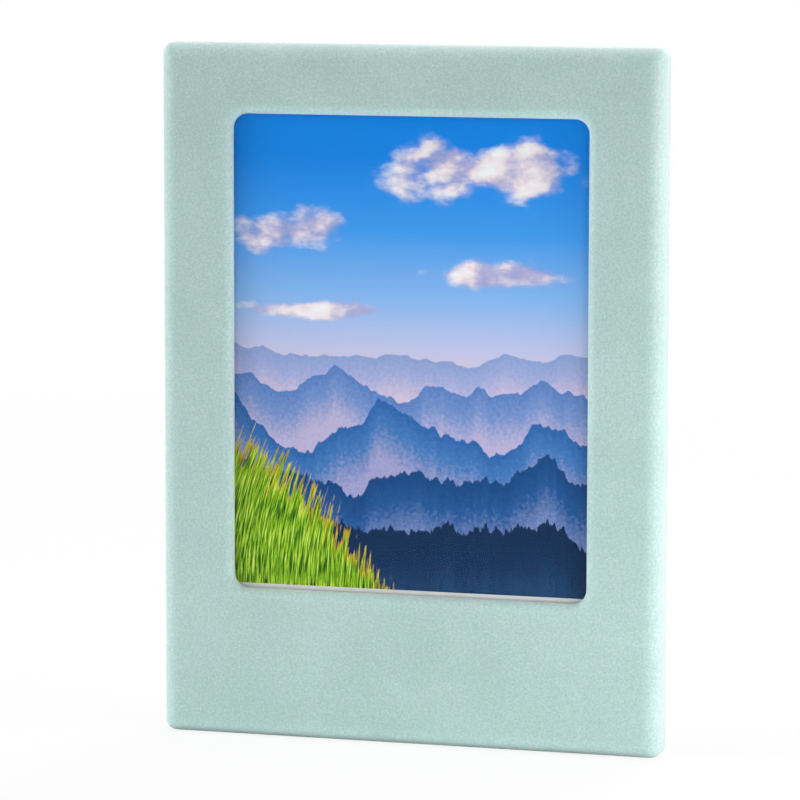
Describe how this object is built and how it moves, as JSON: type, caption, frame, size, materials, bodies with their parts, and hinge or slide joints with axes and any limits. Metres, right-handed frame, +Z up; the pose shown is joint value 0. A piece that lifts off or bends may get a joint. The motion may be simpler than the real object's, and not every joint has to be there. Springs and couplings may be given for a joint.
{
  "type": "magnetic photo frame",
  "caption": "Slim upright frame for a small instant print, with a clear window and a lift-off back cover that bar magnets hold shut and hold to a steel surface.",
  "frame": {"origin": "middle of the flat rear face, which lies against the steel surface that the frame hangs on", "axes": "+Y out of the rear face into that surface, +Z up the height of the frame, the window looks along -Y, +X to the right as seen from the front"},
  "size_m": [0.0672, 0.0048, 0.091],
  "materials": {
    "moulded_mint": "fine spark-eroded matte, pale mint, slightly translucent",
    "moulded_mint_cover": "fine spark-eroded matte, pale mint",
    "clear_sheet": "clear, smooth on both faces",
    "print_white": "white polyester sheet, semi-gloss",
    "print_image": "printed colour landscape, gloss",
    "print_dark": "dark backing film, matte",
    "plated_magnet": "bright nickel plate"
  },
  "bodies": {
    "frame": {"front_frame": "moulded_mint", "clear_window": "clear_sheet", "frame_magnet_lower_left": "plated_magnet", "frame_magnet_upper_left": "plated_magnet", "frame_magnet_lower_right": "plated_magnet", "frame_magnet_upper_right": "plated_magnet"},
    "cover": {"back_cover": "moulded_mint_cover", "cover_magnet_lower_left": "plated_magnet", "cover_magnet_upper_left": "plated_magnet", "cover_magnet_lower_right": "plated_magnet", "cover_magnet_upper_right": "plated_magnet"},
    "print": {"print_border": "print_white", "print_picture": "print_image", "print_backing": "print_dark"}
  },
  "joints": [
    {"name": "cover_lift", "type": "slide", "parent": "frame", "child": "cover", "axis": [0, 1, 0], "range_m": [0, 0.03]},
    {"name": "print_lift", "type": "slide", "parent": "frame", "child": "print", "axis": [0, 1, 0], "range_m": [0, 0.015]}
  ],
  "couplings": [
    {"joint": "print_lift", "follows": "cover_lift", "ratio": 0.5}
  ]
}
